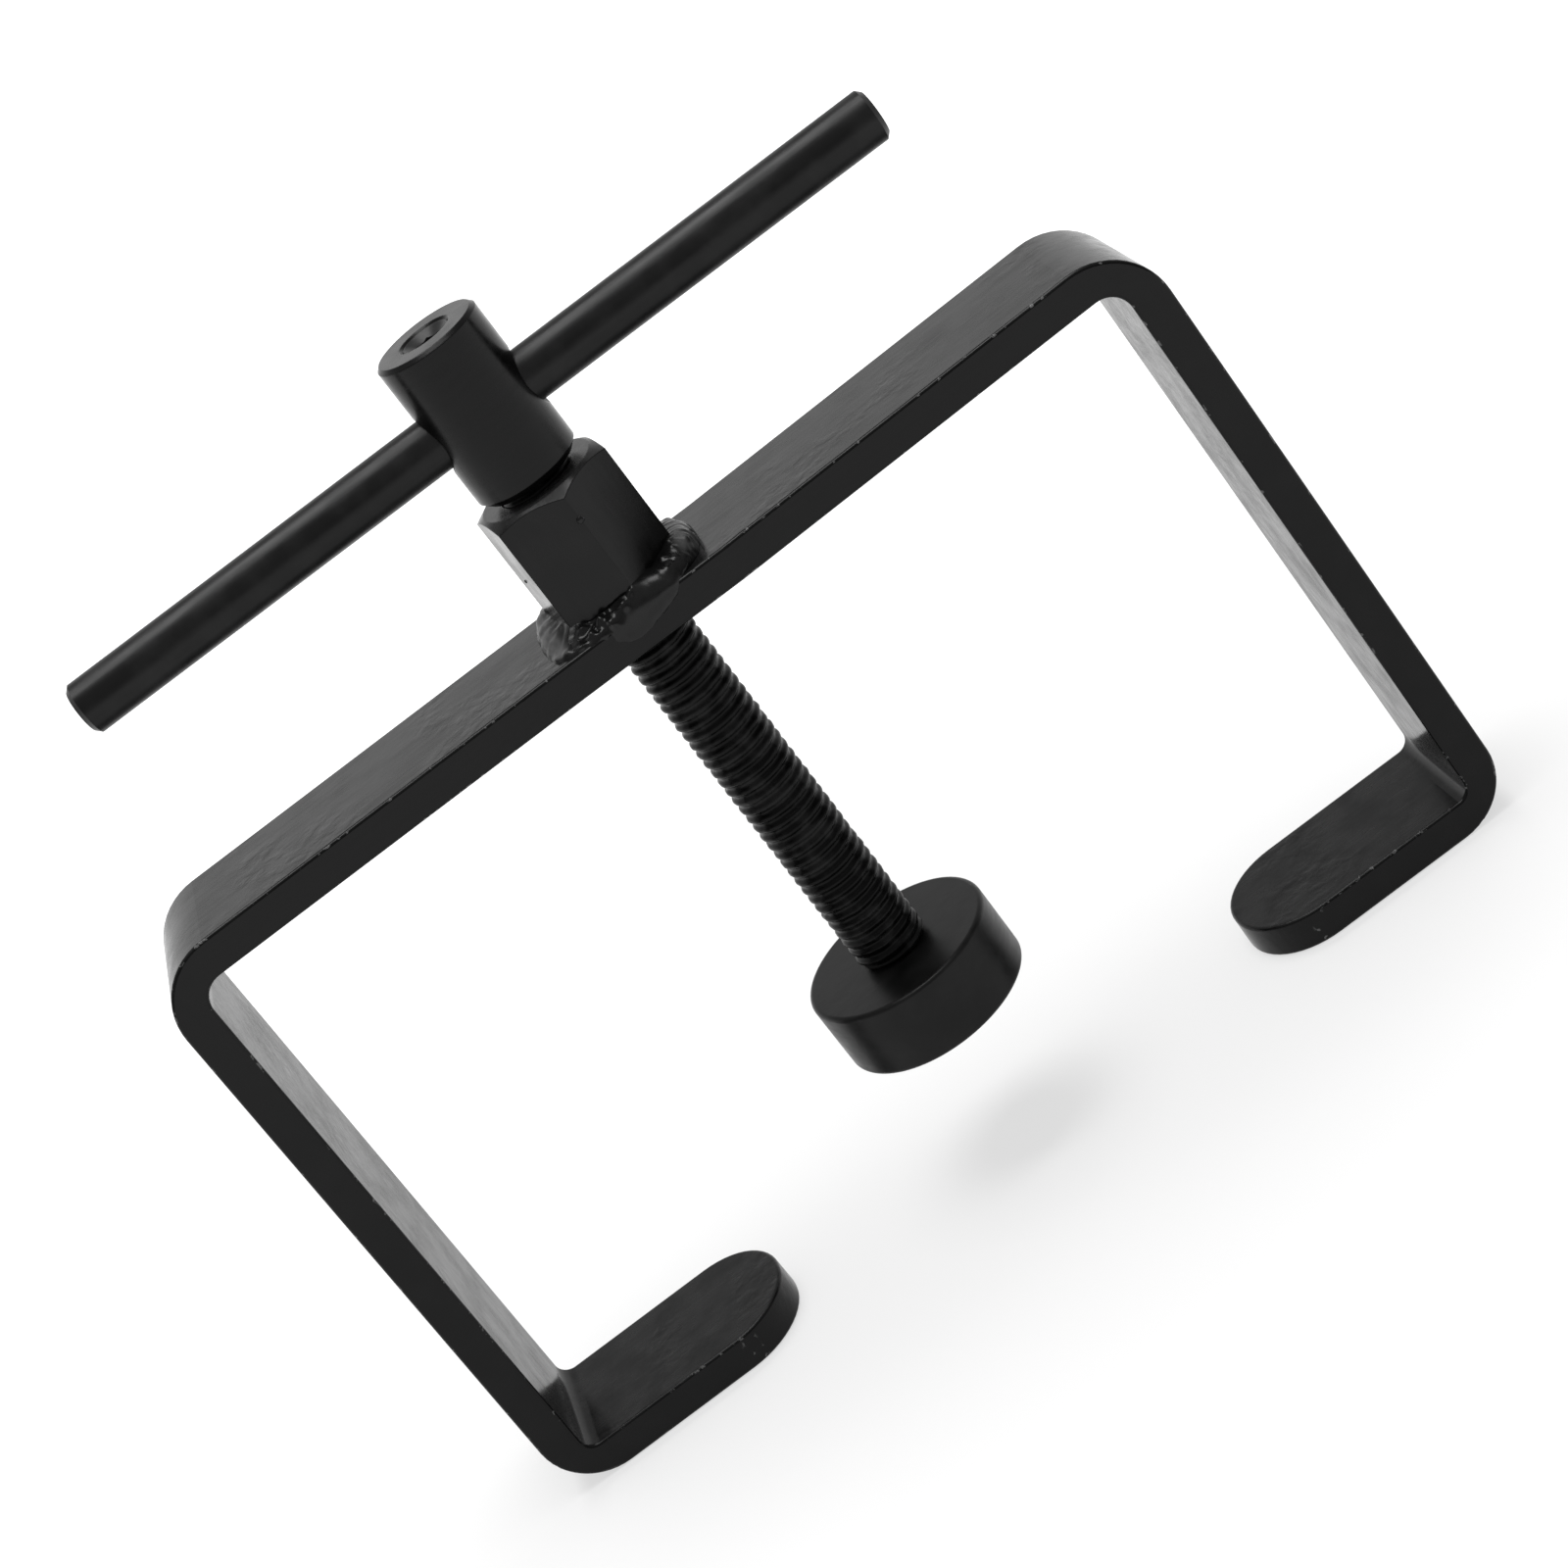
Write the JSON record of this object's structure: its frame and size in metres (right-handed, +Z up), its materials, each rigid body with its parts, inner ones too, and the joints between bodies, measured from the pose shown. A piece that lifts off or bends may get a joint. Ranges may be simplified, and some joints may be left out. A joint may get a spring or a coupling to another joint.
{
  "type": "pipe clamp",
  "caption": "Twin-hook screw clamp: bent flat-bar frame, welded hexagonal nut, threaded spindle with a tommy bar, and a round pressing pad.",
  "frame": {"origin": "on the screw's axis, level with the undersides of the two hooks the clamp can stand on", "axes": "+Z up along the screw towards the handle, +X along the top bar and the handle, -Y the front, where a corner of the nut points"},
  "size_m": [0.1902, 0.0332, 0.1659],
  "materials": {
    "frame_paint": "semi-gloss black paint on hot-rolled bar",
    "nut_paint": "semi-gloss black paint",
    "weld_paint": "black paint over rough weld",
    "screw_steel": "blackened steel, oiled",
    "head_paint": "satin black paint",
    "handle_paint": "satin black paint on drawn rod",
    "set_screw_steel": "black oxide",
    "pad_paint": "satin black paint",
    "washer_steel": "plain steel",
    "ring_steel": "phosphated spring steel"
  },
  "bodies": {
    "clamp_frame": {"frame": "frame_paint", "screw_nut": "nut_paint", "weld_left": "weld_paint", "weld_right": "weld_paint", "weld_front": "weld_paint", "weld_back": "weld_paint"},
    "pad": {"pressing_pad": "pad_paint"},
    "screw": {"spindle": "screw_steel", "handle_head": "head_paint", "handle_bar": "handle_paint", "set_screw": "set_screw_steel", "thrust_washer": "washer_steel", "retaining_ring": "ring_steel"}
  },
  "joints": [
    {"name": "pad_travel", "type": "slide", "parent": "clamp_frame", "child": "pad", "axis": [0, 0, 1], "range_m": [-0.0011, 0.0695]},
    {"name": "screw_turn", "type": "hinge", "parent": "pad", "child": "screw", "pos_m": [0, 0, 0.1], "axis": [0, 0, 1], "range_deg": [-204.7, 12807.5]}
  ],
  "couplings": [
    {"joint": "screw_turn", "follows": "pad_travel", "rad_per_m": 3215.8}
  ]
}
